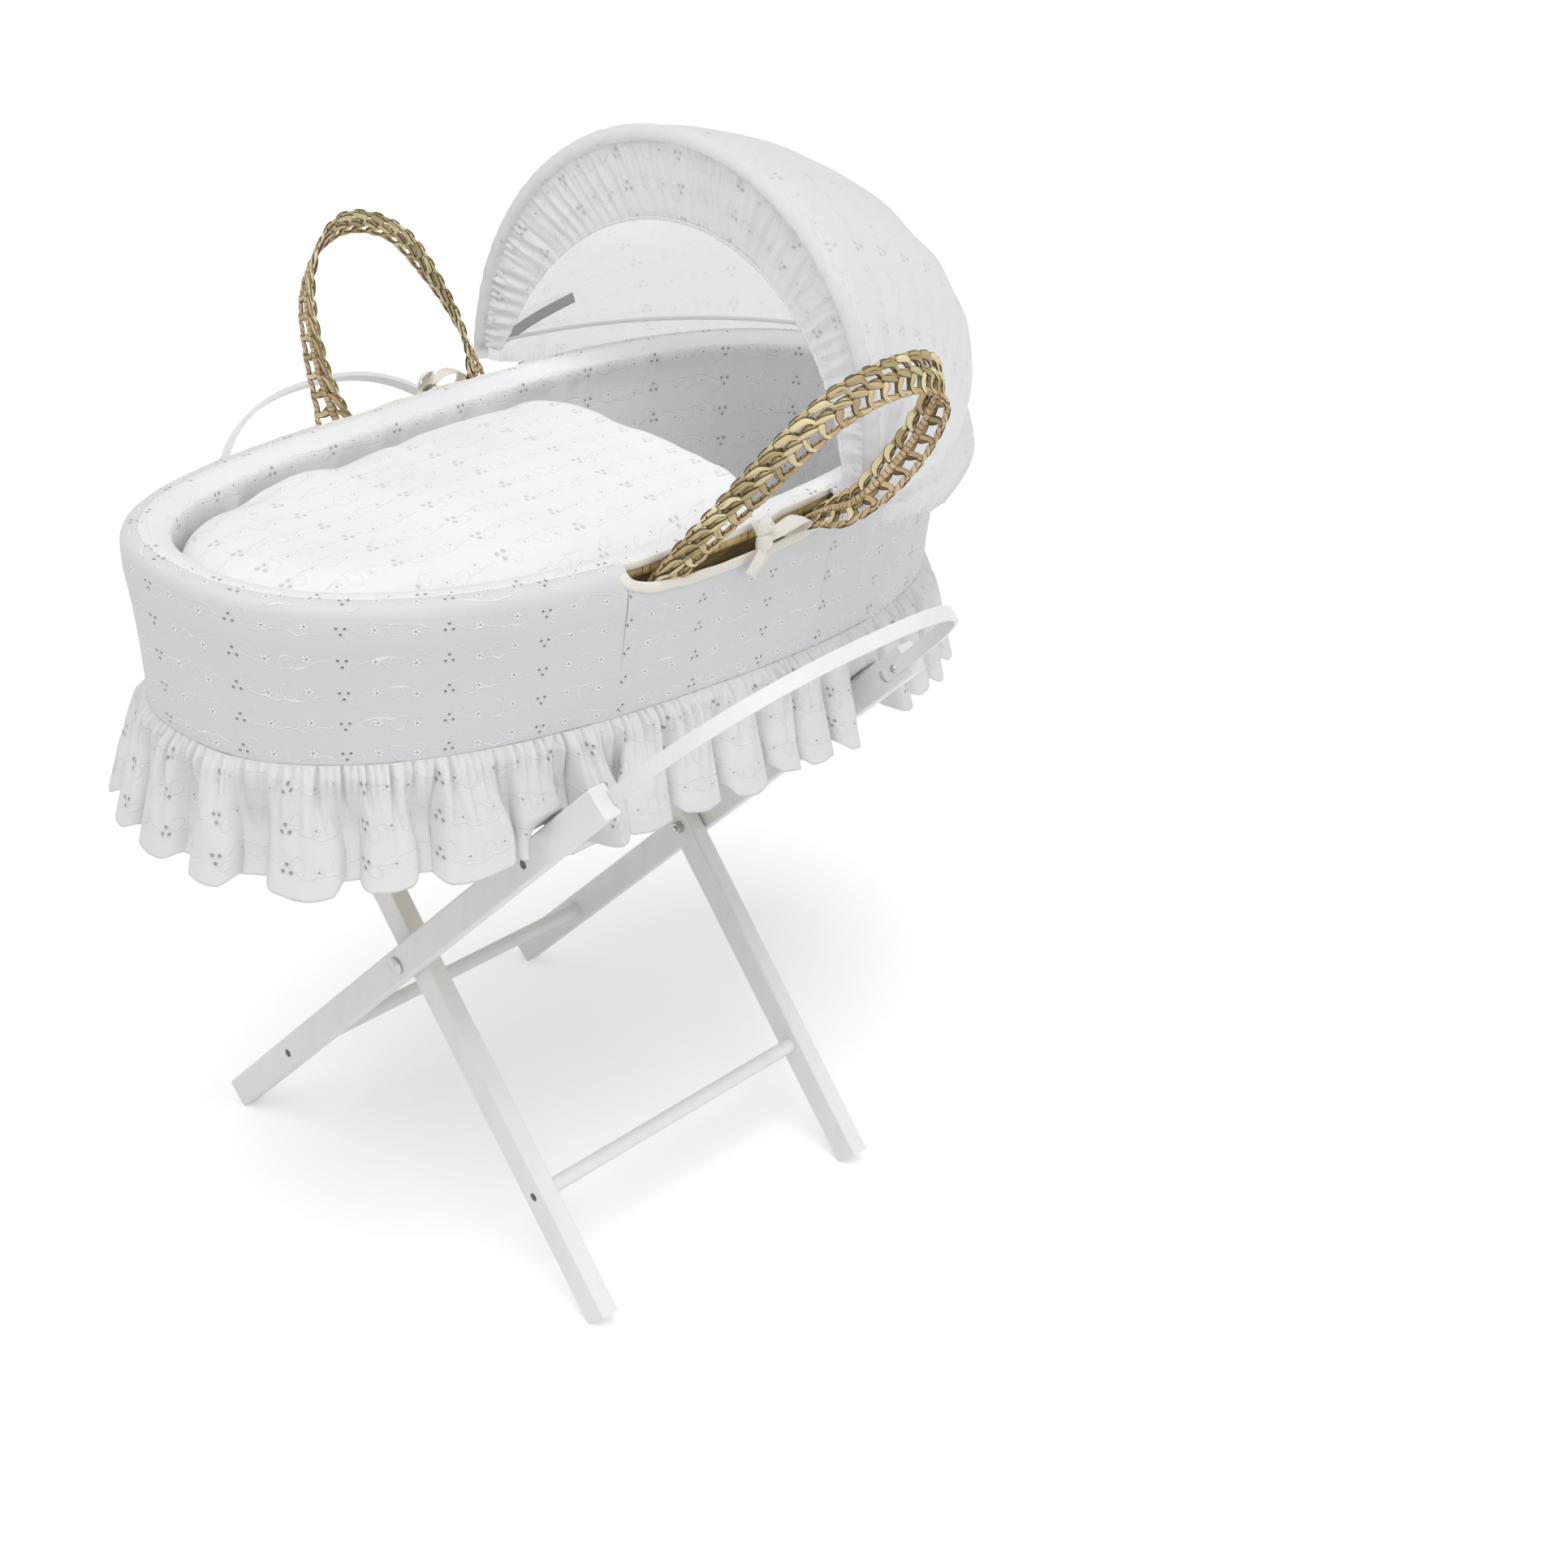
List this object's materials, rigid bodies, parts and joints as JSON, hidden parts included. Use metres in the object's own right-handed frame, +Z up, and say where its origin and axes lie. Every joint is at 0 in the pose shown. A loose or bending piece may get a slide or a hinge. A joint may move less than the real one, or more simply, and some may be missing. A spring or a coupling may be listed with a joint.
{
  "type": "bassinet on stand",
  "caption": "Dressed palm Moses basket with a folding hood, frilled skirt and two plaited handles, resting on a crossed folding wooden stand with bent bows.",
  "frame": {"origin": "on the floor, below the middle of the overall box", "axes": "+X towards the head end and its hood, +Y towards the side whose handle stands up, +Z up"},
  "size_m": [0.8515, 0.701, 0.952],
  "materials": {
    "white_painted_wood": "satin white paint over planed softwood",
    "bright_steel": "bright zinc plate",
    "dark_steel": "dark plated screw head",
    "white_webbing": "flat woven webbing",
    "woven_palm": "dry plaited palm leaf",
    "wrapped_palm_coil": "palm leaf wound round a core",
    "plaited_palm": "plaited and wrapped palm leaf, matt with a slight sheen",
    "liner_cotton": "padded plain-weave cotton with eyelet embroidery",
    "embroidered_cotton": "plain-weave cotton with eyelet embroidery",
    "frill_cotton": "thin gathered cotton",
    "cream_binding": "cream bias binding",
    "cream_ribbon": "cream ribbon",
    "mattress_cotton": "plain cotton cover over foam",
    "quilted_cotton": "puffed cotton quilt with eyelet embroidery",
    "ruffle_cotton": "gathered cotton with a lace edge",
    "hood_cotton": "lined cotton with eyelet embroidery"
  },
  "bodies": {
    "outer_frame": {"outer_leg_foot_end": "white_painted_wood", "outer_leg_head_end": "white_painted_wood", "outer_upper_rail": "white_painted_wood", "outer_lower_rail": "white_painted_wood", "outer_bow": "white_painted_wood", "pivot_bolts": "bright_steel", "pivot_nuts": "bright_steel", "pivot_washers": "bright_steel", "outer_rail_screws": "dark_steel", "outer_bow_screws": "bright_steel", "foot_end_strap": "white_webbing", "head_end_strap": "white_webbing"},
    "inner_frame": {"inner_leg_foot_end": "white_painted_wood", "inner_leg_head_end": "white_painted_wood", "inner_upper_rail": "white_painted_wood", "inner_lower_rail": "white_painted_wood", "inner_bow": "white_painted_wood", "inner_rail_screws": "dark_steel", "inner_bow_screws": "bright_steel"},
    "basket": {"basket_base": "woven_palm", "basket_wall": "woven_palm", "rim_coil": "wrapped_palm_coil", "handle_tails": "plaited_palm", "padded_liner": "liner_cotton", "outer_dressing": "embroidered_cotton", "frill": "frill_cotton", "slot_bindings": "cream_binding", "slot_ribbons": "cream_ribbon", "mattress": "mattress_cotton", "hood_base_wire": "bright_steel", "hood_rivets": "bright_steel", "hood_cover": "hood_cotton"},
    "hood_front": {"hood_front_hoop": "bright_steel", "hood_ruffle": "ruffle_cotton"},
    "near_handle": {"near_handle": "plaited_palm"},
    "far_handle": {"far_handle": "plaited_palm"},
    "coverlet": {"coverlet": "quilted_cotton"}
  },
  "joints": [
    {"name": "basket_lift", "type": "slide", "parent": "outer_frame", "child": "basket", "axis": [0, -0.3419, 0.9397], "range_m": [0, 0.95]},
    {"name": "stand_fold", "type": "hinge", "parent": "outer_frame", "child": "inner_frame", "pos_m": [0, 0, 0.27365], "axis": [1, 0, 0], "range_deg": [0, 76.5], "deforming": ["foot_end_strap", "head_end_strap"]},
    {"name": "hood_fold", "type": "hinge", "parent": "basket", "child": "hood_front", "pos_m": [0.112, 0, 0.702], "axis": [0, 1, 0], "range_deg": [0, 70], "deforming": ["hood_cover"]},
    {"name": "near_handle_swing", "type": "hinge", "parent": "basket", "child": "near_handle", "pos_m": [0, -0.192, 0.68], "axis": [1, 0, 0], "range_deg": [0, 41]},
    {"name": "far_handle_swing", "type": "hinge", "parent": "basket", "child": "far_handle", "pos_m": [0, 0.192, 0.68], "axis": [-1, 0, 0], "range_deg": [-19, 50]},
    {"name": "coverlet_lift", "type": "slide", "parent": "basket", "child": "coverlet", "axis": [0, 0, 1], "range_m": [0, 0.3]}
  ],
  "couplings": [
    {"joint": "stand_fold", "follows": "basket_lift", "rad_per_m": 1.3963}
  ]
}
